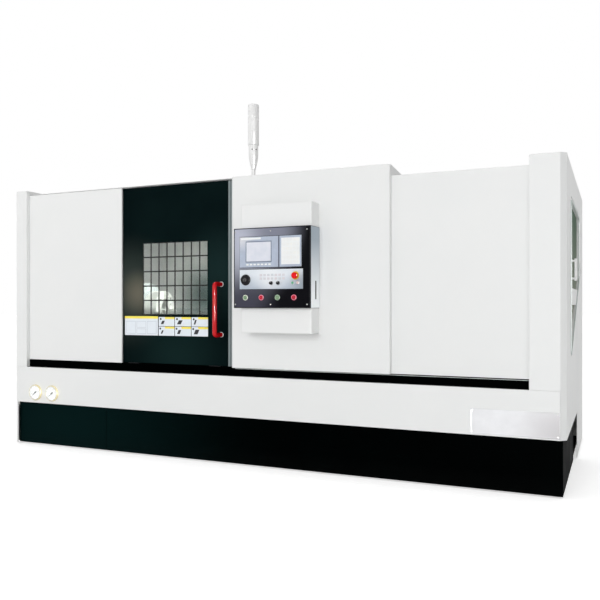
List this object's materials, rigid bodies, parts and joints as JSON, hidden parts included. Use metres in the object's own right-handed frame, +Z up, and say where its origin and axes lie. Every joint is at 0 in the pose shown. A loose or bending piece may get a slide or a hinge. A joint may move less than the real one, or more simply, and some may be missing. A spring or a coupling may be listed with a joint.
{
  "type": "cnc turning lathe",
  "caption": "Enclosed slant-bed turning lathe with a sliding front door, a control console on the middle cover, an end inspection door and a signal tower.",
  "frame": {"origin": "middle of the machine's outline, on the floor", "axes": "+X along the spindle to the operator's right, +Y from the operator to the back, +Z up"},
  "size_m": [4.0447, 2.2112, 2.469],
  "materials": {
    "white_paint": "satin",
    "black_paint": "satin",
    "door_paint": "satin",
    "machine_grey": "satin",
    "cast_bed": "matte",
    "ground_steel": "satin",
    "dark_steel": "satin",
    "grey_profile": "satin",
    "clear_glass": "gloss",
    "tinted_glass": "gloss",
    "grid_grey": "matte",
    "red_plastic": "gloss",
    "pale_green_plastic": "gloss",
    "green_plastic": "gloss",
    "pink_plastic": "gloss",
    "black_plastic": "matte",
    "grey_plastic": "satin",
    "light_plastic": "satin",
    "white_plastic": "gloss",
    "belt_rubber": "matte"
  },
  "bodies": {
    "machine": {"base_frame": "black_paint", "levelling_feet": "ground_steel", "slant_bed": "cast_bed", "guide_rails": "ground_steel", "feed_motor": "black_plastic", "headstock": "machine_grey", "drive_belt": "belt_rubber", "spindle_motor": "machine_grey", "left_end_cover": "white_paint", "right_end_cover": "white_paint", "left_front_panel": "white_paint", "middle_front_cover": "white_paint", "right_front_panel": "white_paint", "left_roof": "white_paint", "rear_cover": "white_paint", "servo_drives": "grey_plastic", "lower_apron": "white_paint", "slot_channel": "black_paint", "console_box": "white_paint", "console_housing": "black_paint", "control_unit": "grey_plastic", "operator_panel": "light_plastic", "gauge_cases": "ground_steel", "signal_tower": "white_plastic"},
    "sliding_door": {"door_panel": "door_paint", "door_glass": "clear_glass", "window_grid": "grid_grey", "door_handle": "red_plastic", "door_strip": "grey_profile", "door_slides": "black_plastic"},
    "main_spindle": {"spindle": "ground_steel", "chuck_body": "ground_steel"},
    "chuck_jaw_1": {"jaw_1": "dark_steel"},
    "chuck_jaw_2": {"jaw_2": "dark_steel"},
    "chuck_jaw_3": {"jaw_3": "dark_steel"},
    "motor_rotor": {"motor_pulley": "ground_steel"},
    "saddle": {"carriage": "machine_grey"},
    "cross_carriage": {"cross_slide": "machine_grey", "turret_body": "machine_grey"},
    "turret": {"turret_disc": "ground_steel", "tool_holders": "dark_steel"},
    "feed_screw": {"ball_screw": "ground_steel"},
    "tailstock_body": {"tailstock": "machine_grey"},
    "tailstock_quill": {"quill": "ground_steel"},
    "rotating_centre": {"live_centre": "ground_steel"},
    "handwheel_knob": {"handwheel": "black_plastic"},
    "stop_button": {"emergency_stop": "red_plastic"},
    "button_1": {"push_button_1": "pale_green_plastic"},
    "button_2": {"push_button_2": "red_plastic"},
    "button_3": {"push_button_3": "pale_green_plastic"},
    "button_4": {"push_button_4": "red_plastic"},
    "feed_dial": {"feed_knob": "black_plastic"},
    "speed_dial": {"speed_knob": "black_plastic"},
    "power_on": {"power_on_button": "green_plastic"},
    "power_off": {"power_off_button": "pink_plastic"},
    "left_needle": {"left_pointer": "black_plastic"},
    "right_needle": {"right_pointer": "black_plastic"},
    "side_door": {"end_door": "white_paint", "end_window": "tinted_glass"},
    "rear_door": {"cabinet_door": "white_paint"}
  },
  "joints": [
    {"name": "door_slide", "type": "slide", "parent": "machine", "child": "sliding_door", "axis": [-1, 0, 0], "range_m": [0, 0.78]},
    {"name": "spindle_turn", "type": "hinge", "parent": "machine", "child": "main_spindle", "pos_m": [-1.1075, -0.37035, 1.05], "axis": [1, 0, 0], "continuous": true},
    {"name": "jaw_1_slide", "type": "slide", "parent": "main_spindle", "child": "chuck_jaw_1", "axis": [0, 0, 1], "range_m": [0, 0.008]},
    {"name": "jaw_2_slide", "type": "slide", "parent": "main_spindle", "child": "chuck_jaw_2", "axis": [0, -0.866, -0.5], "range_m": [0, 0.008]},
    {"name": "jaw_3_slide", "type": "slide", "parent": "main_spindle", "child": "chuck_jaw_3", "axis": [0, 0.866, -0.5], "range_m": [0, 0.008]},
    {"name": "motor_turn", "type": "hinge", "parent": "machine", "child": "motor_rotor", "pos_m": [-1.8025, 0.31965, 0.55], "axis": [1, 0, 0], "continuous": true},
    {"name": "carriage_slide", "type": "slide", "parent": "machine", "child": "saddle", "axis": [1, 0, 0], "range_m": [-0.65, 0.38]},
    {"name": "cross_slide_travel", "type": "slide", "parent": "saddle", "child": "cross_carriage", "axis": [0, -0.866, -0.5], "range_m": [0, 0.23]},
    {"name": "turret_index", "type": "hinge", "parent": "cross_carriage", "child": "turret", "pos_m": [-0.2675, 0.06266, 1.3], "axis": [1, 0, 0], "continuous": true},
    {"name": "feed_screw_turn", "type": "hinge", "parent": "machine", "child": "feed_screw", "pos_m": [-1.0475, 0.05232, 0.83792], "axis": [1, 0, 0], "continuous": true},
    {"name": "tailstock_slide", "type": "slide", "parent": "machine", "child": "tailstock_body", "axis": [1, 0, 0], "range_m": [-0.6, 0.45]},
    {"name": "quill_slide", "type": "slide", "parent": "tailstock_body", "child": "tailstock_quill", "axis": [-1, 0, 0], "range_m": [0, 0.12]},
    {"name": "centre_turn", "type": "hinge", "parent": "tailstock_quill", "child": "rotating_centre", "pos_m": [0.6025, -0.37035, 1.05], "axis": [1, 0, 0], "continuous": true},
    {"name": "handwheel_turn", "type": "hinge", "parent": "machine", "child": "handwheel_knob", "pos_m": [0.0985, -1.07335, 1.2235], "axis": [0, 1, 0], "continuous": true},
    {"name": "emergency_stop_press", "type": "slide", "parent": "machine", "child": "stop_button", "axis": [0, 1, 0], "range_m": [0, 0.005]},
    {"name": "feed_knob_turn", "type": "hinge", "parent": "machine", "child": "feed_dial", "pos_m": [0.2785, -1.07335, 1.202], "axis": [0, 1, 0], "range_deg": [-135, 135]},
    {"name": "speed_knob_turn", "type": "hinge", "parent": "machine", "child": "speed_dial", "pos_m": [0.327, -1.07335, 1.202], "axis": [0, 1, 0], "range_deg": [-135, 135]},
    {"name": "power_on_press", "type": "slide", "parent": "machine", "child": "power_on", "axis": [0, 1, 0], "range_m": [0, 0.003], "stiffness_N_per_m": 1500, "springref_m": -0.003},
    {"name": "power_off_press", "type": "slide", "parent": "machine", "child": "power_off", "axis": [0, 1, 0], "range_m": [0, 0.003], "stiffness_N_per_m": 1500, "springref_m": -0.003},
    {"name": "left_pointer_turn", "type": "hinge", "parent": "machine", "child": "left_needle", "pos_m": [-1.7945, -0.92035, 0.4015], "axis": [0, 1, 0], "range_deg": [0, 260]},
    {"name": "right_pointer_turn", "type": "hinge", "parent": "machine", "child": "right_needle", "pos_m": [-1.6335, -0.92035, 0.4015], "axis": [0, 1, 0], "range_deg": [0, 260]},
    {"name": "side_door_swing", "type": "hinge", "parent": "machine", "child": "side_door", "pos_m": [2.0005, 0.48165, 1.29], "axis": [0, 0, 1], "range_deg": [0, 110]},
    {"name": "cabinet_door_swing", "type": "hinge", "parent": "machine", "child": "rear_door", "pos_m": [-1.0315, 1.07265, 0.4], "axis": [0, 0, 1], "range_deg": [0, 110]},
    {"name": "push_button_1_press", "type": "slide", "parent": "machine", "child": "button_1", "axis": [0, 1, 0], "range_m": [0, 0.003], "stiffness_N_per_m": 1500, "springref_m": -0.003},
    {"name": "push_button_2_press", "type": "slide", "parent": "machine", "child": "button_2", "axis": [0, 1, 0], "range_m": [0, 0.003], "stiffness_N_per_m": 1500, "springref_m": -0.003},
    {"name": "push_button_3_press", "type": "slide", "parent": "machine", "child": "button_3", "axis": [0, 1, 0], "range_m": [0, 0.003], "stiffness_N_per_m": 1500, "springref_m": -0.003},
    {"name": "push_button_4_press", "type": "slide", "parent": "machine", "child": "button_4", "axis": [0, 1, 0], "range_m": [0, 0.003], "stiffness_N_per_m": 1500, "springref_m": -0.003}
  ],
  "couplings": [
    {"joint": "motor_turn", "follows": "spindle_turn", "ratio": 1.4737},
    {"joint": "jaw_2_slide", "follows": "jaw_1_slide", "ratio": 1},
    {"joint": "jaw_3_slide", "follows": "jaw_1_slide", "ratio": 1},
    {"joint": "feed_screw_turn", "follows": "carriage_slide", "rad_per_m": 523.6}
  ]
}
